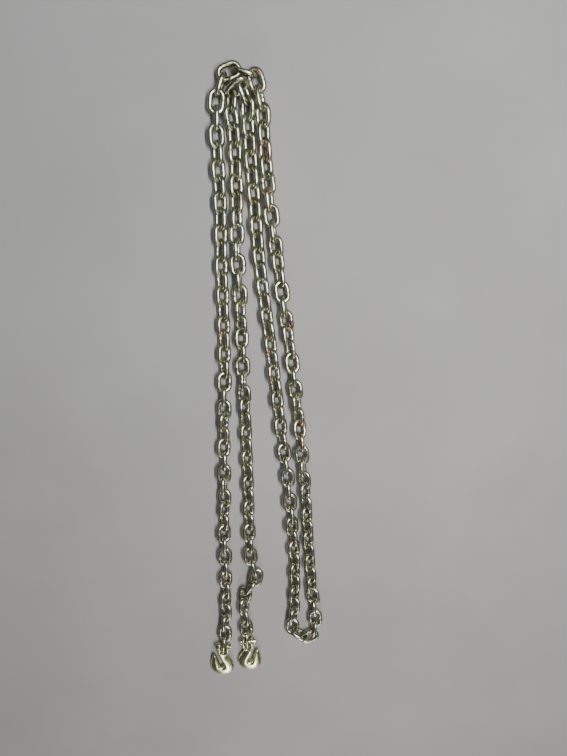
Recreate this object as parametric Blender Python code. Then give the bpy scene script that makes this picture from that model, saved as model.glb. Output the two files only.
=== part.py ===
"""Steel chain with a clevis grab hook at each end, laid on a floor in four nearly parallel strands.

Metres, +Z up, floor at z = 0. The strands run along Y: the chain is doubled and doubled again, with its
two hooks and one bend at -Y and two bends, one inside the other, at +Y.
"""

import math

import bmesh
import bpy
from mathutils import Matrix, Vector

# Links: round bar, bent and welded into a short link
LINKS = 169                  # links in the chain, an odd number for both end links to stand
BAR = 0.0100                 # bar diameter
INSIDE_LENGTH = 0.0310       # inside length of a link, which is the chain's pitch
INSIDE_WIDTH = 0.0147        # inside width of a link

# Spaces and seats
GAP = 0.0003                 # space left between touching pieces
LINK_GAP = 0.0004            # the same between the bearing flats of two runs of links
SEAT = 0.00055               # how far the links of one run press into each other where they bear
LINKS_PER_RUN = 5            # links fused into one run
# Links that start a run of their own because the chain turns sharply there, one row for each bend
BEND_STARTS = (
    42, 43, 44,
    85, 86, 87,
    126, 127, 128,
    162, 163, 164,
)
SETTLING_LINKS = 12          # links over which the twist is taken up for the last one to stand
MOST_TWIST = 0.5             # the twist between two links, as a cosine, that their room allows for
AIMING_ROUNDS = 6            # times that a link is aimed again after its seat on the last one has moved

# Clevis grab hooks, all measured from the clevis pin's axis
HOOK_REACH = 0.0935          # pin axis to the bottom of the bowl
BOWL_RADIUS = 0.0300         # outer radius of the bowl
BOWL_SHIFT = 0.0010          # how far the bowl lies off the fork's middle, to the side of the tip
BOWL_START = 155             # the bowl's outline from the neck round to the tip, in degrees
BOWL_END = 355
HOOK_THICKNESS = 0.0170      # across the forging
HOOK_ROUNDING = 0.0030       # rounding of the forging's edges
SLOT_CLEARANCE = 0.0012      # the throat's room on each side of a bar
SLOT_DEPTH = 0.0582          # pin axis to the middle of the slot's round bottom
SLOT_SHIFT = 0.0025          # how far the slot's bottom lies off the fork's middle
SLOT_RISE = 0.0060           # height over which the slot leans by the next length, towards the tip
SLOT_LEAN = 0.0017
TIP_HEIGHT = 0.0270          # pin axis to the top of the tip
TIP_RADIUS = 0.0043          # round end of the tip
TIP_INSET = 0.0078           # the bowl's side to the middle of the tip
TIP_END = 160                # where the tip's round end meets the slot, in degrees
NECK = 0.0200                # width of the neck under the fork
NECK_START = 0.0215          # pin axis to the neck's upper and lower ends
NECK_END = 0.0270
THROAT = 0.0355              # pin axis to where the slot's mouth is narrowest
THROAT_INSET = 0.0030        # how far the neck is hollowed there
FORK_CLEARANCE = 0.0017      # the fork's room on each side of a bar
FORK_DEPTH = 0.0195          # pin axis to the bottom of the fork's mouth
FORK_SHOULDER = 0.0110       # pin axis to where the fork starts to narrow
EAR_WALL = 0.0075            # thickness of each ear
EAR_RADIUS = 0.0105          # round end of an ear about the pin
HOOK_A_TURN = 4.0            # hook A hangs straighter than its link, by this many degrees in plan

# Clevis pins and their cotters
PIN_DIAMETER = 0.0104
PIN_HEAD = 0.0160            # head diameter
PIN_HEAD_HEIGHT = 0.0032
PIN_TAIL = 0.0060            # length of the pin beyond the ear, on the cotter's side
COTTER_WIRE = 0.0024
COTTER_LEG = 0.0110          # from the pin's axis to a leg's end
COTTER_EYE = 0.0026          # middle radius of the eye
COTTER_EYE_START = -70       # the eye's wire from one side of the legs to the other, in degrees
COTTER_EYE_END = 200
COTTER_FOOT = 0.0030         # length of a leg's bent end, and how far it is bent aside
COTTER_BEND = 0.0035
PIN_DROP = 0.0008            # the pin hangs this much lower than the middle of its standing link

# Facets of the round forms, and how near points become one
PIN_SIDES = 14
HOLE_SIDES = 8
BOWL_SIDES = 14
EAR_SIDES = 8
MOUTH_SIDES = 6
SLOT_SIDES = 5
TIP_SIDES = 4
MERGE = 0.00001

# The route of the chain's middle line from pin A to pin B: x, y, rise and lie. Rise lifts it over what
# lies below. Lie is the turn, in degrees, of the first of each two links about the line: at 45 the
# links lean left and right by turns, and at 0 or 90 one lies flat and the next one stands.
ROUTE_STEP = 0.001           # between points of the curve through it
ROUTE_LENGTH = 1.00406       # the curve's length over that of all links: it runs on past pin B
ROUTE = [
    # first strand, from hook A
    (-0.106, -0.611, 0.000, 90), (-0.101, -0.569, 0.000, 80), (-0.097, -0.470, 0.000, 45),
    (-0.095, -0.347, 0.000, 7), (-0.096, -0.284, 0.0004, 33), (-0.092, -0.193, 0.000, 77),
    (-0.092, -0.130, 0.000, 100), (-0.087, 0.026, 0.000, 177), (-0.084, 0.120, 0.000, 220),
    (-0.083, 0.211, 0.000, 225), (-0.084, 0.337, 0.000, 225), (-0.083, 0.460, 0.000, 225),
    (-0.085, 0.530, 0.000, 220), (-0.0865, 0.595, 0.000, 195),
    # outer bend
    (-0.084, 0.647, 0.000, 180), (-0.078, 0.676, 0.000, 180), (-0.063, 0.697, 0.000, 180),
    (-0.042, 0.704, 0.000, 180), (-0.020, 0.697, 0.000, 185), (-0.006, 0.680, 0.000, 195),
    (0.002, 0.650, 0.0008, 200),
    # fourth strand
    (0.005, 0.612, 0.000, 215), (0.009, 0.552, 0.000, 225), (0.015, 0.490, 0.000, 205),
    (0.021, 0.429, 0.000, 185), (0.032, 0.350, 0.000, 225), (0.042, 0.279, 0.000, 263),
    (0.053, 0.202, 0.000, 305), (0.064, 0.125, 0.000, 345), (0.071, 0.065, 0.000, 372),
    (0.087, -0.090, 0.000, 450), (0.096, -0.190, 0.000, 490), (0.104, -0.310, 0.000, 495),
    (0.113, -0.424, 0.000, 490), (0.120, -0.484, 0.000, 455),
    # bend at the hooks' end
    (0.124, -0.520, 0.000, 450), (0.125, -0.554, 0.000, 450), (0.113, -0.577, 0.000, 450),
    (0.092, -0.585, 0.000, 450), (0.074, -0.574, 0.000, 445), (0.069, -0.547, 0.000, 435),
    # third strand
    (0.071, -0.487, 0.000, 415), (0.072, -0.366, 0.000, 405), (0.067, -0.300, 0.000, 395),
    (0.055, -0.152, 0.000, 360), (0.039, -0.026, 0.000, 395), (0.018, 0.158, 0.000, 405),
    (-0.005, 0.343, 0.000, 405), (-0.012, 0.435, 0.000, 405), (-0.021, 0.560, 0.000, 405),
    (-0.024, 0.610, 0.000, 410),
    # inner bend
    (-0.0245, 0.636, 0.0015, 417), (-0.025, 0.656, 0.003, 425), (-0.044, 0.684, 0.010, 420),
    (-0.058, 0.652, 0.006, 400), (-0.054, 0.622, 0.0045, 412),
    # second strand, to hook B
    (-0.052, 0.590, 0.0008, 405), (-0.0505, 0.547, 0.000, 405), (-0.049, 0.454, 0.000, 405),
    (-0.051, 0.363, 0.000, 375), (-0.047, 0.300, 0.000, 360), (-0.046, 0.208, 0.000, 395),
    (-0.043, 0.081, 0.000, 450), (-0.040, -0.020, 0.000, 490), (-0.037, -0.162, 0.000, 495),
    (-0.036, -0.322, 0.000, 495), (-0.034, -0.352, 0.000, 495), (-0.028, -0.380, 0.000, 495),
    (-0.019, -0.402, 0.0003, 495), (-0.022, -0.420, 0.001, 495), (-0.037, -0.438, 0.0003, 495),
    (-0.050, -0.458, 0.000, 495), (-0.053, -0.494, 0.000, 500), (-0.048, -0.550, 0.0012, 525),
    (-0.045, -0.600, 0.000, 540), (-0.045, -0.685, 0.000, 540),
]

# Values that follow from the sizes above
BAR_SPACING = INSIDE_LENGTH + BAR            # from one end bar's middle to the other's
LAID_PITCH = INSIDE_LENGTH + SEAT            # from link to link in a fused run
END_RADIUS = (INSIDE_WIDTH + BAR) / 2        # middle radius of a link's round end
SECTION_DEPTH = BAR / 2                      # half depth of the six-sided bar, towards its neighbour
SECTION_WIDTH = math.pi * BAR / 6            # half width that gives it the round bar's area
END_FLAT = (INSIDE_WIDTH / 2) * math.tan(math.pi / 8)  # half length of the flat inside a link's round end
PIN_REACH = (PIN_DIAMETER + BAR) / 2 + GAP   # pin axis to the middle of the end bar round it
FORK_HALF_GAP = BAR / 2 + FORK_CLEARANCE
FORK_HALF_WIDTH = FORK_HALF_GAP + EAR_WALL
SLOT_RADIUS = BAR / 2 + SLOT_CLEARANCE
CUTTER_REACH = 2 * EAR_RADIUS                # how far the fork's cutters reach past it

COLLECTION = "steel_chain"
GUIDES = "steel_chain_guides"


# The lie of the chain


def smooth_route(spread):
    """A smooth curve through the route's points, spread in plan, as points about one step apart."""
    knots = [Vector((x * spread, y * spread, rise, lie)) for x, y, rise, lie in ROUTE]
    lengths = [(b - a).xy.length for a, b in zip(knots, knots[1:])]
    slopes = [(knots[1] - knots[0]) / lengths[0]]
    for before, after, near, far in zip(knots, knots[2:], lengths, lengths[1:]):
        slopes.append((after - before) / (near + far))
    slopes.append((knots[-1] - knots[-2]) / lengths[-1])
    curve = []
    for index, length in enumerate(lengths):
        start, end = knots[index], knots[index + 1]
        leave, arrive = slopes[index] * length, slopes[index + 1] * length
        count = max(2, round(length / ROUTE_STEP))
        for number in range(count):
            t = number / count
            curve.append(
                start * (1 + t * t * (2 * t - 3))
                + leave * (t * (t - 1) * (t - 1))
                + end * (t * t * (3 - 2 * t))
                + arrive * (t * t * (t - 1))
            )
    curve.append(knots[-1])
    return curve


def fitted_route():
    """The route's curve, spread for the chain's links to fill it."""
    curve = smooth_route(1)
    length = sum((after - before).xy.length for before, after in zip(curve, curve[1:]))
    return smooth_route(LINKS * LAID_PITCH * ROUTE_LENGTH / length)


def place_ahead(curve, start, point, reach):
    """The first place on the curve, from start on, that is as far as reach from the point."""
    for index in range(start, len(curve)):
        if (curve[index].xy - point.xy).length >= reach:
            return index
    raise ValueError("the route is too short for the links")


def link_height(roll):
    """Height of a link's middle above the floor when it lies turned by roll about its length."""
    across, along = abs(math.sin(roll)), abs(math.cos(roll))
    corner = SECTION_DEPTH * across + SECTION_WIDTH / 2 * along
    return END_RADIUS * across + max(corner, SECTION_WIDTH * along)


def link_rolls(stations):
    """Each link's turn about its length: neighbours lie a quarter turn apart, and the end link stands."""
    rolls = []
    for number, lie in enumerate(stations):
        rolls.append(math.radians(lie + 90 * (number % 2)))
    excess = rolls[-1] % math.pi - math.pi / 2
    for number in range(SETTLING_LINKS):
        rolls[-1 - number] -= excess * (1 - number / SETTLING_LINKS)
    return rolls


def link_width(along, roll):
    """The direction of a link's width, for a link that points along and is turned by roll."""
    level = Vector((0, 0, 1)).cross(along).normalized()
    upper = along.cross(level)
    return level * math.cos(roll) + upper * math.sin(roll)


def bearing(along, roll, pull):
    """From a round end's tip to where it bears when pulled off its line, and the bar's half depth there."""
    normal = along.cross(link_width(along, roll))
    lean = pull.dot(normal)
    shift = END_RADIUS * ((pull - normal * lean).normalized() - along)
    return shift, SECTION_DEPTH * math.sqrt(1 - lean * lean) + SECTION_WIDTH / 2 * abs(lean)


def corner_room(one, other):
    """The extra space that two bearing flats need when their links' widths are not square to each other."""
    twist = min(abs(one.dot(other)), MOST_TWIST)
    reach = SECTION_WIDTH / 2 * (1 + twist) / math.sqrt(1 - twist * twist)
    return 2 * max(0, reach - END_FLAT)


def lay_chain():
    """The links in order, each with its start and end tips, direction, roll, and if it is fused on."""
    curve = fitted_route()
    stations, place = [], 0
    for _ in range(LINKS):
        stations.append(curve[place].w)
        place = place_ahead(curve, place, curve[place], INSIDE_LENGTH)
    rolls = link_rolls(stations)
    heights = [link_height(roll) for roll in rolls]
    heights.append(heights[-1])
    pin = Vector((curve[0].x, curve[0].y, heights[0] + curve[0].z))
    along = (curve[2] - curve[0]).xyz.normalized()
    links, place, run_length = [], 0, 0
    for number, roll in enumerate(rolls):
        fused = 0 < run_length < LINKS_PER_RUN and number not in BEND_STARTS
        run_length = run_length + 1 if fused else 1
        for _ in range(AIMING_ROUNDS):
            if links:
                last = links[-1]
                pull = (last["along"] + along).normalized()
                end_shift, end_depth = bearing(last["along"], last["roll"], pull)
                start_shift, start_depth = bearing(along, roll, pull)
                room = corner_room(link_width(last["along"], last["roll"]), link_width(along, roll))
                spacing = end_depth + start_depth + (-SEAT if fused else LINK_GAP + room)
                start = last["end"] + end_shift - pull * spacing + start_shift
            else:
                start = pin - along * PIN_REACH
            ahead = place_ahead(curve, place, start, BAR_SPACING - BAR / 2)
            lift = max(heights[number], heights[number + 1])
            joint = Vector((curve[ahead].x, curve[ahead].y, lift + curve[ahead].z))
            along = (joint - start).normalized()
        end = start + along * BAR_SPACING
        links.append({"start": start, "end": end, "along": along, "roll": roll, "fused": fused})
        place = ahead
    return links


def link_matrix(link):
    """Turns a link drawn along X, its width along Y, to where it lies."""
    along = link["along"]
    width = link_width(along, link["roll"])
    middle = (link["start"] + link["end"]) / 2
    return Matrix.Translation(middle) @ Matrix((along, width, along.cross(width))).transposed().to_4x4()


# Tools for making solids


def new_material(name, color, roughness):
    """Plated steel: a Principled material with metal's reflection."""
    material = bpy.data.materials.new(name)
    material.use_nodes = True
    shader = material.node_tree.nodes["Principled BSDF"]
    shader.inputs["Base Color"].default_value = (*color, 1)
    shader.inputs["Metallic"].default_value = 1
    shader.inputs["Roughness"].default_value = roughness
    material.diffuse_color = (*color, 1)
    return material


def add_object(name, data, group):
    """Puts new mesh or curve data in the scene, in the collection given."""
    made = bpy.data.objects.new(name, data)
    bpy.data.collections[group].objects.link(made)
    if group == GUIDES:
        made.hide_render = True
        made.display_type = "WIRE"
    return made


def evaluated_mesh(source):
    """The closed mesh that an object gives with its modifiers, in world space. The object is removed."""
    bpy.context.view_layer.update()
    shape = source.evaluated_get(bpy.context.evaluated_depsgraph_get())
    mesh = bpy.data.meshes.new_from_object(shape)
    mesh.transform(source.matrix_world)
    old = source.data
    kind = source.type
    bpy.data.objects.remove(source)
    if kind == "CURVE":
        bpy.data.curves.remove(old)
        work = bmesh.new()
        work.from_mesh(mesh)
        bmesh.ops.remove_doubles(work, verts=work.verts, dist=MERGE)
        bmesh.ops.recalc_face_normals(work, faces=work.faces)
        work.to_mesh(mesh)
        work.free()
    return mesh


def without_pockets(mesh):
    """Fills the small pockets that two bearing bars can close off between them."""
    work = bmesh.new()
    work.from_mesh(mesh)
    seen, pockets = set(), []
    for seed in work.verts:
        if seed in seen:
            continue
        shell, front = {seed}, [seed]
        while front:
            corner = front.pop()
            fresh = {edge.other_vert(corner) for edge in corner.link_edges} - shell
            front += fresh
            shell |= fresh
        seen |= shell
        spread = max((corner.co - seed.co).length for corner in shell)
        if spread < BAR:
            pockets += shell
    bmesh.ops.delete(work, geom=pockets, context="VERTS")
    work.to_mesh(mesh)
    work.free()
    return mesh


def combine(base, others, operation):
    """The base mesh joined with, or cut by, the other meshes one after the other."""
    solid = add_object("solid", base, GUIDES)
    tools = []
    for other in others:
        tool = add_object("tool", other, GUIDES)
        step = solid.modifiers.new(operation, "BOOLEAN")
        step.operation = operation
        step.solver = "EXACT"
        step.object = tool
        tools.append(tool)
    mesh = evaluated_mesh(solid)
    for tool in tools:
        bpy.data.objects.remove(tool)
    return mesh


def finish(name, mesh, material, origin=(0, 0, 0)):
    """Names a finished solid, gives it its material and puts its origin where it turns or sits."""
    origin = Vector(origin)
    mesh.transform(Matrix.Translation(-origin))
    mesh.materials.clear()
    mesh.materials.append(material)
    mesh.shade_smooth()
    mesh.set_sharp_from_angle(angle=math.radians(40))
    mesh.name = name
    made = add_object(name, mesh, COLLECTION)
    made.location = origin
    return made


def round_bar(radius, low, high, sides):
    """A cylinder along X from low to high, as a mesh."""
    work = bmesh.new()
    turn = Matrix.Rotation(math.pi / 2, 4, "Y")
    place = Matrix.Translation(((low + high) / 2, 0, 0)) @ turn
    bmesh.ops.create_cone(
        work, cap_ends=True, segments=sides, radius1=radius, radius2=radius, depth=high - low,
        matrix=place)
    mesh = bpy.data.meshes.new("round_bar")
    work.to_mesh(mesh)
    work.free()
    return mesh


def plate(points, thickness, rounding=0.0):
    """A closed outline in the XY plane, given a thickness about that plane and rounded edges."""
    outline = bpy.data.curves.new("outline", "CURVE")
    outline.dimensions = "2D"
    outline.fill_mode = "BOTH"
    outline.extrude = thickness / 2 - rounding
    outline.bevel_depth = rounding
    outline.bevel_resolution = 1 if rounding else 0
    outline.offset = -rounding
    spline = outline.splines.new("POLY")
    spline.points.add(len(points) - 1)
    for corner, (x, y) in zip(spline.points, points):
        corner.co = (x, y, 0, 1)
    spline.use_cyclic_u = True
    return evaluated_mesh(add_object("outline", outline, GUIDES))


def arc(centre, radius, start, end, count):
    """Points on a circle from one angle to another, in degrees."""
    points = []
    for number in range(count + 1):
        angle = math.radians(start + (end - start) * number / count)
        points.append((centre[0] + radius * math.cos(angle), centre[1] + radius * math.sin(angle)))
    return points


# Links


def link_mesh():
    """One link, along X: a ring of six-sided bar with eight corners, pulled apart in the middle."""
    corners, half_turn = 8, math.radians(22.5)
    mitre = 1 / math.cos(half_turn)
    work = bmesh.new()
    bmesh.ops.create_circle(work, segments=6, radius=1)
    # The section's flats face along X, to the neighbours, and its points face up and down
    stretch = Matrix.Diagonal((SECTION_DEPTH * mitre / math.cos(math.radians(30)), SECTION_WIDTH, 1, 1))
    stand = Matrix.Rotation(math.pi / 2, 4, "X")
    place = Matrix.Rotation(half_turn, 4, "Z") @ Matrix.Translation((END_RADIUS * mitre, 0, 0))
    bmesh.ops.transform(work, verts=work.verts, matrix=place @ stand @ stretch)
    bmesh.ops.spin(
        work, geom=work.verts[:] + work.edges[:], cent=(0, 0, 0), axis=(0, 0, 1),
        steps=corners, angle=2 * math.pi, use_merge=True)
    bmesh.ops.remove_doubles(work, verts=work.verts, dist=MERGE)
    pull = BAR_SPACING / 2 - END_RADIUS
    for corner in work.verts:
        corner.co.x += math.copysign(pull, corner.co.x)
    bmesh.ops.recalc_face_normals(work, faces=work.faces)
    mesh = bpy.data.meshes.new("link")
    work.to_mesh(mesh)
    work.free()
    return mesh


def joined_copies(pattern, matrices):
    """Copies of a mesh in one mesh, for copies that lie clear of each other."""
    work = bmesh.new()
    for matrix in matrices:
        before = len(work.verts)
        work.from_mesh(pattern)
        work.verts.ensure_lookup_table()
        bmesh.ops.transform(work, verts=work.verts[before:], matrix=matrix)
    mesh = bpy.data.meshes.new("copies")
    work.to_mesh(mesh)
    work.free()
    return mesh


def build_runs(links):
    """The chain as runs of fused links, each run's end link through the next run's first."""
    pattern = link_mesh()
    runs, pieces = [], []
    for link in links:
        if not link["fused"]:
            runs.append([])
        runs[-1].append(link_matrix(link))
    for number, matrices in enumerate(runs, 1):
        mesh = joined_copies(pattern, matrices[0::2])
        if len(matrices) > 1:
            mesh = without_pockets(combine(mesh, [joined_copies(pattern, matrices[1::2])], "UNION"))
        pieces.append((f"chain_run_{number:02d}", mesh, "chain", Vector()))
    return pieces


# Hooks


def hook_outline():
    """The forging seen from the side it lies on, pin axis at the origin, tip at +X, bowl at -Y."""
    neck = NECK / 2
    bowl = (BOWL_SHIFT, BOWL_RADIUS - HOOK_REACH)
    tip = (bowl[0] + BOWL_RADIUS - TIP_INSET, -TIP_HEIGHT - TIP_RADIUS)
    slot = (SLOT_SHIFT, -SLOT_DEPTH)
    points = [(-neck, -NECK_START), (-neck, -NECK_END)]
    points += arc(bowl, BOWL_RADIUS, BOWL_START, BOWL_END, BOWL_SIDES)
    points += arc(tip, TIP_RADIUS, 0, TIP_END, TIP_SIDES)
    points.append((slot[0] + SLOT_RADIUS + SLOT_LEAN, slot[1] + SLOT_RISE))
    points += arc(slot, SLOT_RADIUS, 0, -180, SLOT_SIDES)
    points.append((slot[0] - SLOT_RADIUS + SLOT_LEAN, slot[1] + SLOT_RISE))
    points += [(neck - THROAT_INSET, -THROAT), (neck, -NECK_END), (neck, -NECK_START)]
    return points


def fork_mesh():
    """The fork: two ears with round ends about the pin, narrowing below them into the neck."""
    root = FORK_DEPTH + EAR_WALL
    side = arc((0, 0), EAR_RADIUS, 0, 180, EAR_SIDES)
    side += [(-HOOK_THICKNESS / 2, -root), (HOOK_THICKNESS / 2, -root)]
    mesh = plate(side, 2 * FORK_HALF_WIDTH)
    # The side view was drawn in XY: X becomes Z, and the thickness runs along X
    mesh.transform(Matrix(((0, 0, 1, 0), (0, 1, 0, 0), (-1, 0, 0, 0), (0, 0, 0, 1))))
    front = [(-FORK_HALF_WIDTH, CUTTER_REACH), (-FORK_HALF_WIDTH, -FORK_SHOULDER), (-NECK / 2, -root)]
    front += [(-x, y) for x, y in reversed(front)]
    mesh = combine(mesh, [plate(front, 2 * CUTTER_REACH)], "INTERSECT")
    mouth = arc((0, FORK_HALF_GAP - FORK_DEPTH), FORK_HALF_GAP, 180, 360, MOUTH_SIDES)
    mouth = [(-FORK_HALF_GAP, CUTTER_REACH)] + mouth + [(FORK_HALF_GAP, CUTTER_REACH)]
    return combine(mesh, [plate(mouth, 2 * CUTTER_REACH)], "DIFFERENCE")


def pin_mesh():
    """The clevis pin along X, its head at -X, with a cross hole for the cotter."""
    head = -FORK_HALF_WIDTH - GAP
    tail = FORK_HALF_WIDTH + PIN_TAIL
    shank = round_bar(PIN_DIAMETER / 2, head - PIN_HEAD_HEIGHT / 2, tail, PIN_SIDES)
    cap = round_bar(PIN_HEAD / 2, head - PIN_HEAD_HEIGHT, head, PIN_SIDES)
    hole = round_bar(COTTER_WIRE / 2 + GAP, -PIN_DIAMETER, PIN_DIAMETER, HOLE_SIDES)
    turn = Matrix.Translation((cotter_place(), 0, 0)) @ Matrix.Rotation(math.pi / 2, 4, "Z")
    hole.transform(turn)
    return combine(combine(shank, [cap], "UNION"), [hole], "DIFFERENCE")


def cotter_place():
    """How far along the pin the cotter's hole is."""
    return FORK_HALF_WIDTH + PIN_TAIL / 2


def cotter_mesh():
    """A split pin: its legs together through the pin, an eye on one side, one leg bent back."""
    eye = PIN_DIAMETER / 2 + COTTER_EYE + COTTER_WIRE
    points = [(COTTER_BEND, -COTTER_LEG), (0, COTTER_FOOT - COTTER_LEG)]
    points.append((0, eye - COTTER_EYE - COTTER_WIRE / 4))
    points += arc((0, eye), COTTER_EYE, COTTER_EYE_START, COTTER_EYE_END, HOLE_SIDES)
    wire = bpy.data.curves.new("wire", "CURVE")
    wire.dimensions = "3D"
    wire.bevel_depth = COTTER_WIRE / 2
    wire.bevel_resolution = 1
    wire.use_fill_caps = True
    spline = wire.splines.new("POLY")
    spline.points.add(len(points) - 1)
    for corner, (z, y) in zip(spline.points, points):
        corner.co = (cotter_place(), y, z, 1)
    return evaluated_mesh(add_object("wire", wire, GUIDES))


def hook_matrix(pin, away, side):
    """Turns a hook drawn about its pin to where it lies: bowl away from the chain, and on the floor."""
    fall = math.asin((pin.z - HOOK_THICKNESS / 2) / (HOOK_REACH - HOOK_ROUNDING))
    level = Vector((away.x, away.y, 0)).normalized()
    back = -level * math.cos(fall) + Vector((0, 0, math.sin(fall)))
    across = Vector((0, 0, 1)).cross(back).normalized() * -side
    up = across.cross(back)
    return Matrix.Translation(pin) @ Matrix((across, back, up)).transposed().to_4x4()


def build_hook(letter, pin, away, side):
    """One grab hook with its clevis pin and cotter."""
    forging = plate(hook_outline(), HOOK_THICKNESS, HOOK_ROUNDING)
    bore = round_bar(PIN_DIAMETER / 2 + GAP, -2 * FORK_HALF_WIDTH, 2 * FORK_HALF_WIDTH, PIN_SIDES)
    forging = combine(combine(forging, [fork_mesh()], "UNION"), [bore], "DIFFERENCE")
    matrix = hook_matrix(pin, away, side)
    pieces = []
    for kind, mesh in (("hook", forging), ("clevis_pin", pin_mesh()), ("cotter", cotter_mesh())):
        mesh.transform(matrix)
        pieces.append((f"{kind}_{letter}", mesh, kind, pin))
    return pieces


def onto_the_floor(pieces):
    """How far to move the pieces for their lowest point to be on the floor, centred on the origin."""
    corners = [corner.co for piece in pieces for corner in piece[1].vertices]
    low = Vector(min(corner[axis] for corner in corners) for axis in range(3))
    high = Vector(max(corner[axis] for corner in corners) for axis in range(3))
    middle = (low + high) / 2
    return Vector((-middle.x, -middle.y, -low.z))


def main():
    for leftover in list(bpy.data.objects):
        bpy.data.objects.remove(leftover)
    for group in (COLLECTION, GUIDES):
        bpy.context.scene.collection.children.link(bpy.data.collections.new(group))
    materials = {
        "chain": new_material("plated_links", (0.46, 0.45, 0.29), 0.32),
        "hook": new_material("plated_forging", (0.60, 0.60, 0.38), 0.38),
        "clevis_pin": new_material("plated_pin", (0.56, 0.55, 0.36), 0.30),
        "cotter": new_material("cotter_wire", (0.42, 0.42, 0.40), 0.35),
    }
    links = lay_chain()
    first, last = links[0], links[-1]
    drop = Vector((0, 0, PIN_DROP))
    pin_a = first["start"] + first["along"] * PIN_REACH - drop
    pin_b = last["end"] - last["along"] * PIN_REACH - drop
    away_a = Matrix.Rotation(math.radians(HOOK_A_TURN), 3, "Z") @ -first["along"]
    pieces = build_runs(links)
    pieces += build_hook("a", pin_a, away_a, -1)
    pieces += build_hook("b", pin_b, last["along"], 1)
    move = onto_the_floor(pieces)
    for name, mesh, kind, origin in pieces:
        mesh.transform(Matrix.Translation(move))
        finish(name, mesh, materials[kind], origin + move if origin.length else origin)


main()
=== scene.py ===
"""Looks of a steel chain with a grab hook at each end, laid in four nearly parallel strands.

Metres, +Z up, floor at z = 0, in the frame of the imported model. The links, hooks, pins and cotters
are drawn round and smooth where the model has flats, each in the place of its own solid.
"""

import math
import random

import bmesh
import bpy
from mathutils import Matrix, Vector


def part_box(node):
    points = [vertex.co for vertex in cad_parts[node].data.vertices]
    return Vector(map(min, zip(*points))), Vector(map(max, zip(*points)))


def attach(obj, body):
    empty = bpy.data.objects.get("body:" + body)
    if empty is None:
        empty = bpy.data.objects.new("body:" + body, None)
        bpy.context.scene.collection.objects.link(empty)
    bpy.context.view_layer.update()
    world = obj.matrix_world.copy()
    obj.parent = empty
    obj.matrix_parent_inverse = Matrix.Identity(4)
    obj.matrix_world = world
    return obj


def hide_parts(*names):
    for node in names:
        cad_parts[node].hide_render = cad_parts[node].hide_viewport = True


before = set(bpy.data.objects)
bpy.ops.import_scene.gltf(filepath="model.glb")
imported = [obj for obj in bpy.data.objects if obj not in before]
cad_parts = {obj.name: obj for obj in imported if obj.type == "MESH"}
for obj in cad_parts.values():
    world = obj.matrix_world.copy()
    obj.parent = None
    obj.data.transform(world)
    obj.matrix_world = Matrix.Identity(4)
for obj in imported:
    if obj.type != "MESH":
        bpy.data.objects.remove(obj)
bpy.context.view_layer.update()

# Links: round bar, bent and welded into a short link
LINKS = 169                  # links in the chain
BAR = 0.0100                 # bar diameter
INSIDE_LENGTH = 0.0310       # inside length of a link, which is the chain's pitch
INSIDE_WIDTH = 0.0147        # inside width of a link
WELD_LENGTH = 0.0034         # the butt weld in the middle of one side of each link
WELD_SWELL = 1.10            # its thickness over the bar's

# Spaces, seats and runs of the links, as they are in the model
GAP = 0.0003                 # space left between touching pieces
LINK_GAP = 0.0004            # the same between the links where two runs meet
SEAT = 0.00055               # how far the links of one run press into each other where they bear
LINKS_PER_RUN = 5            # links in one run, which is one node
# Links that start a run of their own, because the chain turns sharply there: one row for each bend
BEND_STARTS = (
    42, 43, 44,
    85, 86, 87,
    126, 127, 128,
    162, 163, 164,
)
SETTLING_LINKS = 12          # links over which the twist is taken up for the last one to stand
MOST_TWIST = 0.5             # the twist between two links, as a cosine, that their room allows for
QUARTER_TURN = 90            # neighbours lie this many degrees apart
AIMING_ROUNDS = 6            # times that a link is aimed again after its seat has moved
END_SIDES = 8                # sides that both ends of the model's link would have as one ring
LONE_LINK = 42               # a link that is a node by itself, and that node
LONE_NODE = "chain_run_10"

# How finely the links are drawn
RING_STEPS = 16              # faces round the ring that the two ends of a link come from
BAR_SIDES = 10               # faces round the bar
MERGE = 0.00001              # points nearer than this become one where the halves of a link meet

# Clevis grab hooks, all measured from the clevis pin's axis
HOOK_REACH = 0.0935          # pin axis to the bottom of the bowl
HOOK_THICKNESS = 0.0170      # across the forging
HOOK_ROUNDING = 0.0030       # rounding of its edges where it rests
BOWL_RADIUS = 0.0300         # outer radius of the bowl
BOWL_SHIFT = 0.0010          # how far the bowl lies off the fork's middle, to the side of the tip
SLOT_CLEARANCE = 0.0012      # the slot's room on each side of a bar
SLOT_DEPTH = 0.0582          # pin axis to the middle of the slot's round bottom
SLOT_SHIFT = 0.0025          # how far the slot's bottom lies off the fork's middle
FORK_CLEARANCE = 0.0017      # the fork's room on each side of a bar
EAR_WALL = 0.0075            # thickness of each ear
HOOK_A_TURN = 4.0            # hook A hangs straighter than its link, by this many degrees in plan

# Clevis pins and their cotters
PIN_DIAMETER = 0.0104
PIN_HEAD = 0.0160            # head diameter
PIN_HEAD_HEIGHT = 0.0032
PIN_DOME = 0.0004            # how far the head's face is domed, and the width of the rim round it
PIN_RIM = PIN_HEAD / 8
PIN_CHAMFER = 0.0006         # width of the chamfer on the pin's edges, and the faces across it
CHAMFER_STEPS = 2
PIN_TAIL = 0.0060            # length of the pin beyond the ear, on the cotter's side
PIN_DROP = 0.0008            # the pin hangs this much lower than the middle of its standing link
COTTER_WIRE = 0.0024         # both legs together, each of them half of it
COTTER_LEG = 0.0110          # from the pin's axis to a leg's end
COTTER_FOOT = 0.0030         # length of a leg's bent end, and how far it is bent aside
COTTER_BEND = 0.0035
COTTER_EYE = 0.0026          # middle radius of the eye
EYE_START = -60              # where the eye's wire starts, in degrees, with a point each step
EYE_STEP = 25
EYE_POINTS = 13
WIRE_ROUNDING = 2            # how finely the wire is rounded

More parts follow.
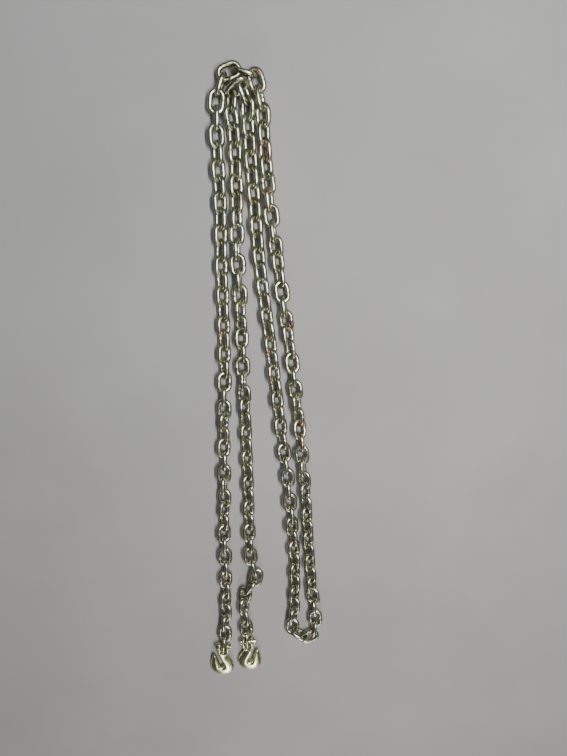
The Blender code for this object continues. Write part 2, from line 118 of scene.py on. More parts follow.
# Faces round the bores, holes and pins, and the angles in degrees over which an edge stays sharp
BORE_SIDES = 48
PIN_SIDES = 32
HOLE_SIDES = 16
HOOK_CREASE = 50
PIN_CREASE = 40
CHAMFERED_CREASE = 50        # edges of a pin that are sharper than this get the chamfer

# Camera: the photograph is 756 pixels high, and its lens is 568 of them from its picture
VIEW_HEIGHT = 756
VIEW_DEPTH = 568
SENSOR = 36                  # height of the camera's picture in millimetres, as its lens is given
CAMERA_PLACE = (0.0440, 0.4221, 1.2145)
CAMERA_TILT = 15.7           # degrees off straight down, towards the hooks
NEAREST_SEEN = 0.05          # how near and how far the camera sees
FURTHEST_SEEN = 20

# The route of the chain's middle line from pin A to pin B: x, y, rise and lie, as in the model.
# Rise lifts it over what lies below. Lie is the turn, in degrees, of the first of each two links
# about the line: at 45 the links lean left and right by turns, and at 0 or 90 one lies flat and
# the next one stands.
ROUTE_STEP = 0.001           # between points of the curve through it
ROUTE_RATIO = 1.00406        # the curve's length over that of all links: it runs on past pin B
ROUTE = [
    # first strand, from hook A
    (-0.106, -0.611, 0.000, 90), (-0.101, -0.569, 0.000, 80), (-0.097, -0.470, 0.000, 45),
    (-0.095, -0.347, 0.000, 7), (-0.096, -0.284, 0.0004, 33), (-0.092, -0.193, 0.000, 77),
    (-0.092, -0.130, 0.000, 100), (-0.087, 0.026, 0.000, 177), (-0.084, 0.120, 0.000, 220),
    (-0.083, 0.211, 0.000, 225), (-0.084, 0.337, 0.000, 225), (-0.083, 0.460, 0.000, 225),
    (-0.085, 0.530, 0.000, 220), (-0.0865, 0.595, 0.000, 195),
    # outer bend
    (-0.084, 0.647, 0.000, 180), (-0.078, 0.676, 0.000, 180), (-0.063, 0.697, 0.000, 180),
    (-0.042, 0.704, 0.000, 180), (-0.020, 0.697, 0.000, 185), (-0.006, 0.680, 0.000, 195),
    (0.002, 0.650, 0.0008, 200),
    # fourth strand
    (0.005, 0.612, 0.000, 215), (0.009, 0.552, 0.000, 225), (0.015, 0.490, 0.000, 205),
    (0.021, 0.429, 0.000, 185), (0.032, 0.350, 0.000, 225), (0.042, 0.279, 0.000, 263),
    (0.053, 0.202, 0.000, 305), (0.064, 0.125, 0.000, 345), (0.071, 0.065, 0.000, 372),
    (0.087, -0.090, 0.000, 450), (0.096, -0.190, 0.000, 490), (0.104, -0.310, 0.000, 495),
    (0.113, -0.424, 0.000, 490), (0.120, -0.484, 0.000, 455),
    # bend at the hooks' end
    (0.124, -0.520, 0.000, 450), (0.125, -0.554, 0.000, 450), (0.113, -0.577, 0.000, 450),
    (0.092, -0.585, 0.000, 450), (0.074, -0.574, 0.000, 445), (0.069, -0.547, 0.000, 435),
    # third strand
    (0.071, -0.487, 0.000, 415), (0.072, -0.366, 0.000, 405), (0.067, -0.300, 0.000, 395),
    (0.055, -0.152, 0.000, 360), (0.039, -0.026, 0.000, 395), (0.018, 0.158, 0.000, 405),
    (-0.005, 0.343, 0.000, 405), (-0.012, 0.435, 0.000, 405), (-0.021, 0.560, 0.000, 405),
    (-0.024, 0.610, 0.000, 410),
    # inner bend
    (-0.0245, 0.636, 0.0015, 417), (-0.025, 0.656, 0.003, 425), (-0.044, 0.684, 0.010, 420),
    (-0.058, 0.652, 0.006, 400), (-0.054, 0.622, 0.0045, 412),
    # second strand, to hook B
    (-0.052, 0.590, 0.0008, 405), (-0.0505, 0.547, 0.000, 405), (-0.049, 0.454, 0.000, 405),
    (-0.051, 0.363, 0.000, 375), (-0.047, 0.300, 0.000, 360), (-0.046, 0.208, 0.000, 395),
    (-0.043, 0.081, 0.000, 450), (-0.040, -0.020, 0.000, 490), (-0.037, -0.162, 0.000, 495),
    (-0.036, -0.322, 0.000, 495), (-0.034, -0.352, 0.000, 495), (-0.028, -0.380, 0.000, 495),
    (-0.019, -0.402, 0.0003, 495), (-0.022, -0.420, 0.001, 495), (-0.037, -0.438, 0.0003, 495),
    (-0.050, -0.458, 0.000, 495), (-0.053, -0.494, 0.000, 500), (-0.048, -0.550, 0.0012, 525),
    (-0.045, -0.600, 0.000, 540), (-0.045, -0.685, 0.000, 540),
]

# Values that follow from the sizes above
BAR_SPACING = INSIDE_LENGTH + BAR            # from one end bar's middle to the other's
LAID_PITCH = INSIDE_LENGTH + SEAT            # from link to link in a fused run
END_RADIUS = (INSIDE_WIDTH + BAR) / 2        # middle radius of a link's round end
HALF_STRAIGHT = BAR_SPACING / 2 - END_RADIUS  # half length of a link's straight sides
SECTION_DEPTH = BAR / 2                      # half depth of the model's six-sided bar
SECTION_WIDTH = math.pi * BAR / 6            # half width that gives it the round bar's area
END_FLAT = (INSIDE_WIDTH / 2) * math.tan(math.pi / END_SIDES)  # half the flat inside a round end
WELD_REACH = WELD_LENGTH / 4                 # points this near to a link's middle are the weld's
PIN_REACH = (PIN_DIAMETER + BAR) / 2 + GAP   # pin axis to the middle of the end bar round it
FORK_HALF_GAP = BAR / 2 + FORK_CLEARANCE
FORK_HALF_WIDTH = FORK_HALF_GAP + EAR_WALL
SLOT_RADIUS = BAR / 2 + SLOT_CLEARANCE
COTTER_PLACE = FORK_HALF_WIDTH + PIN_TAIL / 2  # how far along the pin the cotter is
LEG_RADIUS = COTTER_WIRE / 4                 # of one leg's wire, which is also round the eye
BORE_CUT = 3 * FORK_HALF_WIDTH               # lengths of the cutters, well through what they cut
HOLE_CUT = 2 * PIN_DIAMETER

# How the hook's cage is drawn: smoothing pulls it in, so it is drawn a little large
CAGE = 1.10                  # thickness of the cage over the forging's
BOWL_CAGE = 1.047            # radius of the cage's bowl over the forging's
NECK_TOP = -0.0210           # the block at the neck that bowl and ears are drawn from
NECK_BOTTOM = -0.0245
NECK_HALF = 0.0100
NECK_CUT = 0.0040            # the block's middle, between the ears
# Thickness over the cage's across the bowl, from its outside to the slot
CREST = (0.36, 0.72, 1.08, 0.90)
NECK_RINGS = (               # slot side and outside, about the pin, and thickness over the neck's
    ((0.0100, -0.0245), (-0.0100, -0.0245), 1.00),
    ((0.0088, -0.0310), (-0.0132, -0.0308), 1.00),
    ((0.0068, -0.0375), (-0.0192, -0.0382), 1.00),
    ((0.0018, -0.0455), (-0.0268, -0.0490), 1.00),
)
BOWL_TURNS = (               # slot side and outside of each ring round the bowl, in degrees
    (178, 183), (213, 214), (248, 245), (283, 276), (318, 307), (353, 338),
)
TIP_RINGS = (                # as the neck's, up to the point of the hook
    ((0.0104, -0.0522), (0.0313, -0.0605), 0.98),
    ((0.0135, -0.0443), (0.0302, -0.0497), 0.90),
    ((0.0165, -0.0367), (0.0290, -0.0398), 0.78),
    ((0.0190, -0.0303), (0.0278, -0.0314), 0.60),
    ((0.0212, -0.0272), (0.0256, -0.0274), 0.34),
)
EAR_RINGS = (                # middle, width and height, and thickness over the neck's
    (0.0070, 0.0060, NECK_TOP, 1.00),
    (0.0096, 0.0078, -0.0155, 1.04),
    (0.0105, 0.0086, -0.0090, 1.18),
    (0.0105, 0.0088, 0.0000, 1.30),
    (0.0105, 0.0084, 0.0072, 1.12),
    (0.0105, 0.0066, 0.0117, 0.62),
)
SMOOTHING = 2                # times that smoothing splits each face of the cage

# Choosing faces and points, and turning a cylinder to lie along an axis
FACING = 0.9                 # a face looks along an axis when its normal has this much of it
NEAR = 0.001                 # points this near to a cut are on it
ALONG_X = (0, math.pi / 2, 0)
ALONG_Y = (math.pi / 2, 0, 0)

# Sizes of the patterns in the finishes, in millimetres
BAR_DRIFT = 25               # the tint of the plating on a link drifts over about half its length
BAR_POLISH = 4               # patches where the bar is duller
BAR_GRAIN = 1                # grain of the plate: about 0.1 on a real one, drawn coarser to show
BAR_WAVES = 10               # unevenness left by bending and welding
FORGING_DRIFT = 18           # the tint of the plating on a hook
FORGING_POLISH = 5.5         # patches where the forging is duller
FORGING_PITS = 0.7           # pits from blasting: about 0.2 on a real one, drawn coarser to show
PIN_DRIFT = 8                # the tint and the polish of pins and cotters
FLOOR_CLOUD = 330            # paler and darker clouds on the floor

# Tints of the finishes: place and colour, from thin film to thick or from dark to pale
BAR_TINTS = (
    (0.22, "#AB8C80"),       # rose
    (0.33, "#BAB59B"),       # straw
    (0.45, "#A6A88D"),       # olive
    (0.56, "#9B9E85"),       # darker olive
    (0.68, "#B6BAA8"),       # grey green
    (0.80, "#A4AA9C"),       # grey
)
FORGING_TINTS = (
    (0.30, "#D2C29C"),       # straw
    (0.42, "#E2DCB0"),       # pale yellow
    (0.55, "#DADCAC"),       # pale yellow green
    (0.70, "#EAE9CC"),       # cream
)
PIN_TINTS = ((0.35, "#A9A380"), (0.65, "#D0CDA6"))
COTTER_TINTS = ((0.35, "#9C9A8C"), (0.65, "#C9C8BC"))
FLOOR_TINTS = ((0.30, "#82807E"), (0.70, "#8A8886"))

# Roughness of the finishes, from the best polished places to the dullest
BAR_ROUGHNESS = (0.22, 0.38)
FORGING_ROUGHNESS = (0.22, 0.38)
PIN_ROUGHNESS = (0.18, 0.34)
FLOOR_ROUGHNESS = 0.75

# Relief of the finishes: strength, and depth in metres
GRAIN_RELIEF = {"Strength": 0.03, "Distance": 0.0003}
WAVE_RELIEF = {"Strength": 0.5, "Distance": 0.0015}
PIT_RELIEF = {"Strength": 0.25, "Distance": 0.0005}
TONE_SHIFT = 0.16            # how far a link's own tone moves its tint along the row, either way
TONE_SEED = 5

# Floor, and lights: name, place, the point it faces, width and length, power in watts, and colour
FLOOR_SIZE = 8
LIGHTS = (
    ("strip", (0.85, 0.55, 2.4), (0, 0.55, 0), (0.20, 1.7), 122, "#FFFFFF"),
    ("panel", (0.10, 1.05, 2.6), (0, 0.95, 0), (0.5, 1.3), 18, "#E2EEFF"),
    ("low", (0.15, -2.5, 1.10), (-0.05, -0.65, 0), (0.40, 1.4), 27, "#FFFFFF"),
)
BACKDROP = "#DDE0E2"
BACKDROP_STRENGTH = 0.06


# The lie of the chain, worked out as in the model


def smooth_route(spread):
    """A smooth curve through the route's points, spread in plan, as points about one step apart.

    Between two of them it is the cubic that leaves and arrives with their slopes.
    """
    knots = [Vector((x * spread, y * spread, rise, lie)) for x, y, rise, lie in ROUTE]
    lengths = [(b - a).xy.length for a, b in zip(knots, knots[1:])]
    slopes = [(knots[1] - knots[0]) / lengths[0]]
    for before, after, near, far in zip(knots, knots[2:], lengths, lengths[1:]):
        slopes.append((after - before) / (near + far))
    slopes.append((knots[-1] - knots[-2]) / lengths[-1])
    curve = []
    for index, length in enumerate(lengths):
        start, end = knots[index], knots[index + 1]
        leave, arrive = slopes[index] * length, slopes[index + 1] * length
        count = max(2, round(length / ROUTE_STEP))
        for number in range(count):
            t = number / count
            curve.append(
                start * (1 + t * t * (2 * t - 3))
                + leave * (t * (t - 1) * (t - 1))
                + end * (t * t * (3 - 2 * t))
                + arrive * (t * t * (t - 1))
            )
    curve.append(knots[-1])
    return curve


def fitted_route():
    """The route's curve, spread for the chain's links to fill it."""
    curve = smooth_route(1)
    length = sum((after - before).xy.length for before, after in zip(curve, curve[1:]))
    return smooth_route(LINKS * LAID_PITCH * ROUTE_RATIO / length)


def place_ahead(curve, start, point, reach):
    """The first place on the curve, from start on, that is as far as reach from the point."""
    for index in range(start, len(curve)):
        if (curve[index].xy - point.xy).length >= reach:
            return index
    raise ValueError("the route is too short for the links")


def link_height(roll):
    """Height of a link's middle above the floor when it lies turned by roll about its length."""
    across, along = abs(math.sin(roll)), abs(math.cos(roll))
    corner = SECTION_DEPTH * across + SECTION_WIDTH / 2 * along
    return END_RADIUS * across + max(corner, SECTION_WIDTH * along)


def link_rolls(stations):
    """Each link's turn about its length: a quarter turn to the next, and the end link stands."""
    rolls = []
    for number, lie in enumerate(stations):
        rolls.append(math.radians(lie + QUARTER_TURN * (number % 2)))
    excess = rolls[-1] % math.pi - math.pi / 2
    for number in range(SETTLING_LINKS):
        rolls[-1 - number] -= excess * (1 - number / SETTLING_LINKS)
    return rolls


def link_width(along, roll):
    """The direction of a link's width, for a link that points along and is turned by roll."""
    level = Vector((0, 0, 1)).cross(along).normalized()
    upper = along.cross(level)
    return level * math.cos(roll) + upper * math.sin(roll)


def bearing(along, roll, pull):
    """The way from a round end's tip to where it bears when it is pulled off its line.

    With it comes the half depth of the bar there.
    """
    normal = along.cross(link_width(along, roll))
    lean = pull.dot(normal)
    shift = END_RADIUS * ((pull - normal * lean).normalized() - along)
    return shift, SECTION_DEPTH * math.sqrt(1 - lean * lean) + SECTION_WIDTH / 2 * abs(lean)


def corner_room(one, other):
    """The extra space that two bearing flats need when their links aren't square to each other."""
    twist = min(abs(one.dot(other)), MOST_TWIST)
    reach = SECTION_WIDTH / 2 * (1 + twist) / math.sqrt(1 - twist * twist)
    return 2 * max(0, reach - END_FLAT)


def lay_chain():
    """The links in order: start and end tips, direction, roll, and if it is fused to the last."""
    curve = fitted_route()
    stations, place = [], 0
    for _ in range(LINKS):
        stations.append(curve[place].w)
        place = place_ahead(curve, place, curve[place], INSIDE_LENGTH)
    rolls = link_rolls(stations)
    heights = [link_height(roll) for roll in rolls]
    heights.append(heights[-1])
    pin = Vector((curve[0].x, curve[0].y, heights[0] + curve[0].z))
    along = (curve[2] - curve[0]).xyz.normalized()
    links, place, run_length = [], 0, 0
    for number, roll in enumerate(rolls):
        fused = 0 < run_length < LINKS_PER_RUN and number not in BEND_STARTS
        run_length = run_length + 1 if fused else 1
        for _ in range(AIMING_ROUNDS):
            if links:
                last = links[-1]
                pull = (last["along"] + along).normalized()
                end_shift, end_depth = bearing(last["along"], last["roll"], pull)
                start_shift, start_depth = bearing(along, roll, pull)
                room = corner_room(
                    link_width(last["along"], last["roll"]), link_width(along, roll))
                spacing = end_depth + start_depth + (-SEAT if fused else LINK_GAP + room)
                start = last["end"] + end_shift - pull * spacing + start_shift
            else:
                start = pin - along * PIN_REACH
            ahead = place_ahead(curve, place, start, BAR_SPACING - BAR / 2)
            lift = max(heights[number], heights[number + 1])
            joint = Vector((curve[ahead].x, curve[ahead].y, lift + curve[ahead].z))
            along = (joint - start).normalized()
        end = start + along * BAR_SPACING
        links.append({"start": start, "end": end, "along": along, "roll": roll, "fused": fused})
        place = ahead
    return links


def move_onto_frame(links):
    """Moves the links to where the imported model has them, which the lone link's node shows."""
    low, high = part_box(LONE_NODE)
    lone = links[LONE_LINK]
    move = (low + high) / 2 - (lone["start"] + lone["end"]) / 2
    for link in links:
        link["start"] = link["start"] + move
        link["end"] = link["end"] + move


def placing(middle, x_way, y_way, z_way):
    """The matrix that puts a piece's middle in its place and its axes along these directions."""
    return Matrix.Translation(middle) @ Matrix((x_way, y_way, z_way)).transposed().to_4x4()


def link_matrix(link):
    """Turns a link drawn along X, its width along Y, to where it lies."""
    along = link["along"]
    width = link_width(along, link["roll"])
    return placing((link["start"] + link["end"]) / 2, along, width, along.cross(width))


def hook_matrix(pin, away, side):
    """Turns a hook drawn about its pin to where it lies: bowl away from the chain, on the floor.

    Its tip is on the bowl's +X side for side 1, and on the other, turned over, for side -1.
    """
    fall = math.asin((pin.z - HOOK_THICKNESS / 2) / (HOOK_REACH - HOOK_ROUNDING))
    level = Vector((away.x, away.y, 0)).normalized()
    back = -level * math.cos(fall) + Vector((0, 0, math.sin(fall)))
    across = Vector((0, 0, 1)).cross(back).normalized() * -side
    return placing(pin, across, back, across.cross(back))


# Tools for modelling


def select_only(*chosen):
    """Selects these objects alone, the first one active."""
    bpy.ops.object.select_all(action="DESELECT")
    for item in chosen:
        item.select_set(True)
    bpy.context.view_layer.objects.active = chosen[0]


def pick_faces(test):
    """In edit mode, selects the faces whose middle passes the test, and no others."""
    bpy.ops.mesh.select_mode(type="FACE")
    bpy.ops.mesh.select_all(action="DESELECT")
    work = bmesh.from_edit_mesh(bpy.context.edit_object.data)
    for face in work.faces:
        face.select_set(test(face.calc_center_median(), face.normal))
    bmesh.update_edit_mesh(bpy.context.edit_object.data)


def pick_points(test):
    """In edit mode, selects the vertices whose place passes the test, and no others."""
    bpy.ops.mesh.select_mode(type="VERT")
    bpy.ops.mesh.select_all(action="DESELECT")
    work = bmesh.from_edit_mesh(bpy.context.edit_object.data)
    for point in work.verts:
        point.select_set(test(point.co))
    work.select_flush_mode()
    bmesh.update_edit_mesh(bpy.context.edit_object.data)


def extrude(move):
    """Extrudes what is selected and moves the new end."""
    bpy.ops.mesh.extrude_region_move(TRANSFORM_OT_translate={"value": move})


def add_modifier(item, kind, **settings):
    """Adds a modifier and applies it."""
    select_only(item)
    modifier = item.modifiers.new(kind.lower(), kind)
    for key, value in settings.items():
        setattr(modifier, key, value)
    bpy.ops.object.modifier_apply(modifier=modifier.name)


def drill(item, sides, radius, length, place, turned):
    """Cuts a round hole through a piece with a cylinder, which is then deleted."""
    bpy.ops.mesh.primitive_cylinder_add(
        vertices=sides, radius=radius, depth=length, location=place, rotation=turned)
    cutter = bpy.context.object
    add_modifier(item, "BOOLEAN", operation="DIFFERENCE", solver="EXACT", object=cutter)
    bpy.data.objects.remove(cutter)
    select_only(item)


def mark(item, name, value):
    """Gives every point of a piece one value of an attribute that its material reads."""
    layer = item.data.attributes.new(name, "FLOAT", "POINT")
    layer.data.foreach_set("value", [value] * len(item.data.vertices))


def copy_piece(item, name):
    """A copy with its own mesh."""
    twin = item.copy()
    twin.data = item.data.copy()
    twin.name = name
    bpy.context.scene.collection.objects.link(twin)
    return twin


def put_in(item, name, matrix, material, node):
    """Places a finished piece in its mesh, dresses it, and lets it stand for its node."""
    item.data.transform(matrix)
    item.data.materials.clear()
    item.data.materials.append(material)
    item.name = name
    item.data.name = name
    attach(item, "root")
    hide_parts(node)


# Links


def model_link():
    """A link along X: half a ring, its two arms drawn out to the weld, and mirrored."""
    bpy.ops.object.select_all(action="DESELECT")
    bpy.ops.mesh.primitive_torus_add(
        major_segments=RING_STEPS, minor_segments=BAR_SIDES,
        major_radius=END_RADIUS, minor_radius=BAR / 2)
    link = bpy.context.object
    bpy.ops.object.mode_set(mode="EDIT")
    pick_faces(lambda middle, normal: middle.x < 0)
    bpy.ops.mesh.delete(type="FACE")
    bpy.ops.mesh.select_all(action="SELECT")
    bpy.ops.transform.translate(value=(HALF_STRAIGHT, 0, 0))
    bpy.ops.mesh.select_mode(type="EDGE")
    bpy.ops.mesh.select_all(action="DESELECT")
    bpy.ops.mesh.select_non_manifold()
    extrude((WELD_LENGTH / 2 - HALF_STRAIGHT, 0, 0))
    extrude((-WELD_LENGTH / 2, 0, 0))
    pick_points(lambda place: abs(place.x) < WELD_REACH and place.y > 0)
    bpy.ops.transform.resize(
        value=(1, WELD_SWELL, WELD_SWELL), center_override=(0, END_RADIUS, 0))
    bpy.ops.object.mode_set(mode="OBJECT")
    add_modifier(link, "MIRROR", use_axis=(True, False, False), merge_threshold=MERGE)
    bpy.ops.object.shade_smooth()
    return link


def model_runs(links, material):
    """The chain, one piece for each node: copies of the link, each with its own tone."""
    pattern = model_link()
    tones = random.Random(TONE_SEED)
    runs = []
    for number, link in enumerate(links):
        if not link["fused"]:
            runs.append([])
        piece = copy_piece(pattern, f"link_{number:03d}")
        piece.data.transform(link_matrix(link))
        mark(piece, "tone", tones.random())
        runs[-1].append(piece)
    bpy.data.objects.remove(pattern)
    for number, pieces in enumerate(runs, 1):
        select_only(*pieces)
        bpy.ops.object.join()
        put_in(
            pieces[0], f"links_{number:02d}", Matrix(), material,
            f"chain_run_{number:02d}")


# Hooks


def flat_rings(rows):
    """Rings of the hook's cage from rows of slot side, outside and thickness."""
    return [(Vector((*near, 0)), Vector((*far, 0)), thickness) for near, far, thickness in rows]


def hook_rings():
    """The hook as rings from the neck round the bowl to the tip."""
    bowl = Vector((BOWL_SHIFT, BOWL_RADIUS - HOOK_REACH, 0))
    slot = Vector((SLOT_SHIFT, -SLOT_DEPTH, 0))
    radius = BOWL_RADIUS * BOWL_CAGE
    rings = flat_rings(NECK_RINGS)
    for inside, outside in BOWL_TURNS:
        inside, outside = math.radians(inside), math.radians(outside)
        rings.append((
            slot + SLOT_RADIUS * Vector((math.cos(inside), math.sin(inside), 0)),
            bowl + radius * Vector((math.cos(outside), math.sin(outside), 0)),
            1.00,
        ))
    return rings + flat_rings(TIP_RINGS)


def ear_rings(side):
    """An ear of the fork as rings from the neck to past the pin."""
    rings = []
    for middle, width, height, thickness in EAR_RINGS:
        across = Vector((width / 2, 0, 0))
        centre = Vector((side * middle, height, 0))
        rings.append((centre + across, centre - across, thickness))
    return rings


def turn(angle, centre):
    """Turns what is selected clockwise about the vertical through a centre."""
    bpy.ops.transform.rotate(value=angle, orient_axis="Z", center_override=centre)


def draw_along(rings):
    """Extrudes the selected end from ring to ring, with each one's place, heading and size."""
    for before, after in zip(rings, rings[1:]):
        middle = (before[0] + before[1]) / 2
        target = (after[0] + after[1]) / 2
        was, now = before[0] - before[1], after[0] - after[1]
        extrude(target - middle)
        turn(math.atan2(was.y, was.x), target)
        bpy.ops.transform.resize(
            value=(now.length / was.length, 1, after[2] / before[2]), center_override=target)
        turn(-math.atan2(now.y, now.x), target)


def model_hook():
    """A grab hook about its pin, in the XY plane: a neck block, drawn out to bowl and ears."""
    middle_row = (NECK_TOP + NECK_BOTTOM) / 2
    bpy.ops.object.select_all(action="DESELECT")
    bpy.ops.mesh.primitive_cube_add(
        size=1, location=(0, middle_row, 0),
        scale=(2 * NECK_HALF, NECK_TOP - NECK_BOTTOM, HOOK_THICKNESS * CAGE))
    hook = bpy.context.object
    bpy.ops.object.transform_apply(location=True, rotation=False, scale=True)
    bpy.ops.object.mode_set(mode="EDIT")
    for cut in (-NECK_CUT, NECK_CUT):
        bpy.ops.mesh.select_all(action="SELECT")
        bpy.ops.mesh.bisect(plane_co=(cut, 0, 0), plane_no=(1, 0, 0))
    for side in (-1, 1):
        pick_faces(lambda middle, normal: normal.y > FACING and middle.x * side > NECK_CUT)
        draw_along(ear_rings(side))
    # The forging is thickest beside the slot and thins towards its outside
    for column, crest in zip((-NECK_HALF, -NECK_CUT, NECK_CUT, NECK_HALF), CREST):
        pick_points(lambda place: abs(place.x - column) < NEAR and place.y < middle_row)
        bpy.ops.transform.resize(value=(1, 1, crest), center_override=(column, NECK_BOTTOM, 0))
    pick_faces(lambda middle, normal: normal.y < -FACING and middle.y < middle_row)
    draw_along(hook_rings())
    bpy.ops.mesh.select_all(action="SELECT")
    bpy.ops.mesh.normals_make_consistent(inside=False)
    bpy.ops.object.mode_set(mode="OBJECT")
    add_modifier(hook, "SUBSURF", levels=SMOOTHING, render_levels=SMOOTHING)
    drill(hook, BORE_SIDES, PIN_DIAMETER / 2 + GAP, BORE_CUT, (0, 0, 0), ALONG_X)
    bpy.ops.object.shade_smooth_by_angle(angle=math.radians(HOOK_CREASE))
    return hook


def model_pin():
    """A clevis pin along X: a domed head at -X, the shank drawn from it, and a hole at its end."""
    head = -FORK_HALF_WIDTH - GAP
    bpy.ops.object.select_all(action="DESELECT")
    bpy.ops.mesh.primitive_cylinder_add(
        vertices=PIN_SIDES, radius=PIN_HEAD / 2, depth=PIN_HEAD_HEIGHT,
        location=(head - PIN_HEAD_HEIGHT / 2, 0, 0), rotation=ALONG_X)
    pin = bpy.context.object
    bpy.ops.object.transform_apply(location=True, rotation=True, scale=False)
    bpy.ops.object.mode_set(mode="EDIT")
    pick_faces(lambda middle, normal: normal.x > FACING)
    bpy.ops.mesh.inset(thickness=(PIN_HEAD - PIN_DIAMETER) / 2)
    extrude((FORK_HALF_WIDTH + PIN_TAIL - head, 0, 0))
    pick_faces(lambda middle, normal: normal.x < -FACING)
    bpy.ops.mesh.inset(thickness=PIN_RIM)
    bpy.ops.transform.translate(value=(-PIN_DOME, 0, 0))
    bpy.ops.object.mode_set(mode="OBJECT")
    add_modifier(
        pin, "BEVEL", width=PIN_CHAMFER, segments=CHAMFER_STEPS,
        limit_method="ANGLE", angle_limit=math.radians(CHAMFERED_CREASE))
    drill(pin, HOLE_SIDES, COTTER_WIRE / 2 + GAP, HOLE_CUT, (COTTER_PLACE, 0, 0), ALONG_Y)
    bpy.ops.object.shade_smooth_by_angle(angle=math.radians(PIN_CREASE))
    return pin


def cotter_path():
    """The wire's line: up one leg, round the eye and down the other, with the ends bent apart."""
    eye = PIN_DIAMETER / 2 + COTTER_EYE + COTTER_WIRE
    top = eye - COTTER_EYE - LEG_RADIUS
    bottom = COTTER_FOOT - COTTER_LEG
    path = [(COTTER_BEND, -COTTER_LEG), (LEG_RADIUS, bottom), (LEG_RADIUS, top)]
    for number in range(EYE_POINTS):
        angle = math.radians(EYE_START + EYE_STEP * number)
        path.append((COTTER_EYE * math.cos(angle), eye + COTTER_EYE * math.sin(angle)))
    path += [(-LEG_RADIUS, top), (-LEG_RADIUS, bottom), (-COTTER_BEND, -COTTER_LEG)]
    return path


def model_cotter():
    """A split pin through the clevis pin's end: a wire drawn as a curve along its line."""
    bpy.ops.object.select_all(action="DESELECT")
    bpy.ops.curve.primitive_nurbs_path_add()
    cotter = bpy.context.object
    wire = cotter.data
    wire.splines.remove(wire.splines[0])
    spline = wire.splines.new("POLY")
    path = cotter_path()
    spline.points.add(len(path) - 1)
    for point, (z, y) in zip(spline.points, path):
        point.co = (COTTER_PLACE, y, z, 1)
    wire.bevel_depth = LEG_RADIUS
    wire.bevel_resolution = WIRE_ROUNDING
    wire.use_fill_caps = True
    bpy.ops.object.convert(target="MESH")
    cotter = bpy.context.object
    bpy.ops.object.shade_smooth()
    return cotter


def model_hooks(links, forging, pin_metal, wire_metal):
    """Both hooks with their pins and cotters, each turned to where it lies at the chain's end."""
    drop = Vector((0, 0, PIN_DROP))
    first, last = links[0], links[-1]
    turned = Matrix.Rotation(math.radians(HOOK_A_TURN), 3, "Z") @ -first["along"]
    ends = (
        ("a", first["start"] + first["along"] * PIN_REACH - drop, turned, -1),
        ("b", last["end"] - last["along"] * PIN_REACH - drop, last["along"], 1),
    )
    kinds = (
        ("hook", model_hook(), forging, "hook_forging"),
        ("clevis_pin", model_pin(), pin_metal, "clevis_pin"),
        ("cotter", model_cotter(), wire_metal, "cotter_wire"),
    )
    for letter, pin, away, side in ends:
        matrix = hook_matrix(pin, away, side)
        for kind, pattern, metal, slot in kinds:
            piece = copy_piece(pattern, f"{kind}_{letter}_round")
            put_in(piece, piece.name, matrix, metal, f"{kind}_{letter}")
    for kind, pattern, metal, slot in kinds:
        bpy.data.objects.remove(pattern)


# Finishes


def linear(code):
    """An sRGB hex colour as the linear red, green, blue and alpha that a node takes."""
    values = [int(code[start:start + 2], 16) / 255 for start in (1, 3, 5)]
    # The standard curve: straight near black, and a power above that
    values = [v / 12.92 if v <= 0.04045 else ((v + 0.055) / 1.055) ** 2.4 for v in values]
    return (*values, 1)


def add_node(tree, kind, links=None, values=None, **settings):
    """Adds a node with its settings, values, and links from other nodes' sockets."""
    node = tree.nodes.new(kind)
    for key, value in settings.items():
        setattr(node, key, value)
    for key, value in (values or {}).items():
        node.inputs[key].default_value = value
    for key, socket in (links or {}).items():
        tree.links.new(socket, node.inputs[key])
    return node


def per_metre(size):
    """A pattern's scale in object coordinates, which are metres, from its size in millimetres."""
    return 1000 / size


def set_ramp(node, stops):
    """Gives a colour ramp its stops, as pairs of a place and a hex colour."""
    points = node.color_ramp.elements
    while len(points) < len(stops):
        points.new(0.5)
    for point, (place, code) in zip(points, stops):
        point.position = place
        point.color = linear(code)


def new_finish(name, metallic):
    """A material, its tree and its shader, and the object coordinates that its patterns follow."""
    material = bpy.data.materials.new(name)
    material.use_nodes = True
    tree = material.node_tree
    shader = tree.nodes["Principled BSDF"]
    shader.inputs["Metallic"].default_value = metallic
    return material, tree, shader, add_node(tree, "ShaderNodeTexCoord").outputs["Object"]


